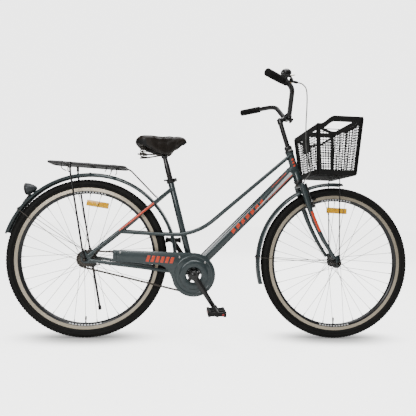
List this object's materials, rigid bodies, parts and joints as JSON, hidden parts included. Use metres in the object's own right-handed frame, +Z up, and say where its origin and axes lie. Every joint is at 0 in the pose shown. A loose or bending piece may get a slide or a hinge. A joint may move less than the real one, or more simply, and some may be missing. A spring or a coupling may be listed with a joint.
{
  "type": "city bicycle",
  "caption": "Step-through city bicycle with twin curved top tubes, front basket, rear rack, fenders, chain guard, sprung saddle and a side stand.",
  "frame": {"origin": "on the ground under the middle of the whole bicycle", "axes": "+X is forward, +Y is the rider's left, +Z is up"},
  "size_m": [1.8624, 0.6144, 1.1916],
  "materials": {
    "paint": "satin dark slate green enamel",
    "black_paint": "gloss black enamel",
    "black_plastic": "moulded black plastic",
    "rubber": "soft black grip rubber",
    "tyre": "black tyre rubber with a block tread",
    "rim_black": "black rim with a machined silver brake track",
    "steel": "zinc plated bright steel",
    "dark_steel": "oiled dark steel",
    "brass": "satin brass",
    "saddle_skin": "black artificial leather",
    "red_lens": "red prismatic reflector",
    "amber_lens": "amber prismatic reflector",
    "grey_plastic": "grey moulded plastic"
  },
  "bodies": {
    "frame": {"head_tube": "paint", "headset_cup_lower": "steel", "headset_cup_upper": "steel", "bottom_bracket_shell": "paint", "seat_tube": "paint", "down_tube": "paint", "seat_stay_right": "paint", "seat_stay_left": "paint", "lateral_tube_right": "paint", "lateral_tube_left": "paint", "chain_stay_right": "paint", "chain_stay_left": "paint", "rear_axle": "steel", "rear_fender": "paint", "rear_fender_stay": "dark_steel", "rack_deck": "black_paint", "rack_leg_right": "black_paint", "rack_leg_left": "black_paint", "tail_reflector_housing": "grey_plastic", "tail_reflector_lens": "red_lens", "chain_guard": "paint", "chain": "dark_steel", "kickstand_bracket": "black_paint", "seat_clamp": "black_paint"},
    "stand": {"kickstand_leg": "black_paint"},
    "seat": {"seat_post": "black_paint", "saddle_rails": "dark_steel", "saddle_cover": "saddle_skin"},
    "clamp_lever": {"seat_clamp_lever": "black_paint"},
    "crankset": {"crank_axle": "steel", "crank_right": "black_paint", "crank_left": "black_paint"},
    "right_pedal": {"pedal_right": "black_plastic"},
    "left_pedal": {"pedal_left": "black_plastic"},
    "sprocket": {"rear_sprocket": "dark_steel"},
    "rear_wheel": {"rear_tyre": "tyre", "rear_rim": "rim_black", "rear_hub_spokes": "steel", "rear_spoke_reflector": "amber_lens"},
    "steering": {"fork": "paint", "stem": "black_paint", "handlebar": "black_paint", "grip_right": "rubber", "grip_left": "rubber", "bell": "black_paint", "brake_bracket": "black_plastic", "brake_cable": "black_plastic", "front_fender": "paint", "front_fender_stay": "dark_steel", "basket": "black_plastic", "basket_stay": "dark_steel", "front_axle": "steel"},
    "front_wheel": {"front_tyre": "tyre", "front_rim": "rim_black", "front_hub_spokes": "steel", "front_spoke_reflector": "amber_lens"},
    "bell_thumb": {"bell_lever": "brass"},
    "hand_lever": {"brake_lever": "black_paint"},
    "right_brake_arm": {"brake_arm_right": "black_paint"},
    "left_brake_arm": {"brake_arm_left": "black_paint"}
  },
  "joints": [
    {"name": "steering_turn", "type": "hinge", "parent": "frame", "child": "steering", "pos_m": [0.37138, 0, 0.80318], "axis": [-0.3173, 0, 0.9483], "range_deg": [-65, 65]},
    {"name": "front_wheel_spin", "type": "hinge", "parent": "steering", "child": "front_wheel", "pos_m": [0.57617, 0, 0.355], "axis": [0, 1, 0], "continuous": true},
    {"name": "rear_wheel_spin", "type": "hinge", "parent": "frame", "child": "rear_wheel", "pos_m": [-0.56883, 0, 0.355], "axis": [0, 1, 0], "continuous": true},
    {"name": "crank_spin", "type": "hinge", "parent": "frame", "child": "crankset", "pos_m": [-0.09383, 0, 0.295], "axis": [0, 1, 0], "continuous": true},
    {"name": "sprocket_spin", "type": "hinge", "parent": "frame", "child": "sprocket", "pos_m": [-0.56883, -0.048, 0.355], "axis": [0, 1, 0], "continuous": true},
    {"name": "right_pedal_spin", "type": "hinge", "parent": "crankset", "child": "right_pedal", "pos_m": [0.00123, -0.155, 0.15406], "axis": [0, 1, 0], "continuous": true},
    {"name": "left_pedal_spin", "type": "hinge", "parent": "crankset", "child": "left_pedal", "pos_m": [-0.18889, 0.155, 0.43594], "axis": [0, 1, 0], "continuous": true},
    {"name": "kickstand_fold", "type": "hinge", "parent": "frame", "child": "stand", "pos_m": [-0.56483, 0.08, 0.318], "axis": [0, 1, 0], "range_deg": [0, 82]},
    {"name": "seat_post_slide", "type": "slide", "parent": "frame", "child": "seat", "axis": [-0.2639, 0, 0.9646], "range_m": [-0.085, 0.07]},
    {"name": "seat_clamp_lever_turn", "type": "hinge", "parent": "frame", "child": "clamp_lever", "pos_m": [-0.18669, 0.014, 0.72162], "axis": [0, 1, 0], "range_deg": [0, 150]},
    {"name": "brake_lever_pull", "type": "hinge", "parent": "steering", "child": "hand_lever", "pos_m": [0.28178, -0.23041, 1.13447], "axis": [0, 0, -1], "range_deg": [0, 15], "stiffness_Nm_per_rad": 0.6, "springref_deg": -8.59},
    {"name": "right_brake_arm_swing", "type": "hinge", "parent": "steering", "child": "right_brake_arm", "pos_m": [0.4538, -0.041, 0.61986], "axis": [-0.9483, 0, -0.3173], "range_deg": [0, 2.05]},
    {"name": "left_brake_arm_swing", "type": "hinge", "parent": "steering", "child": "left_brake_arm", "pos_m": [0.4538, 0.041, 0.61986], "axis": [0.9483, 0, 0.3173], "range_deg": [0, 2.05]},
    {"name": "bell_lever_flick", "type": "hinge", "parent": "steering", "child": "bell_thumb", "pos_m": [0.26891, -0.19555, 1.16464], "axis": [0, 0, 1], "range_deg": [0, 25], "stiffness_Nm_per_rad": 0.05, "springref_deg": -5.73}
  ],
  "couplings": [
    {"joint": "sprocket_spin", "follows": "crank_spin", "ratio": 2.3333},
    {"joint": "right_brake_arm_swing", "follows": "brake_lever_pull", "ratio": 0.1333},
    {"joint": "left_brake_arm_swing", "follows": "brake_lever_pull", "ratio": 0.1333}
  ]
}
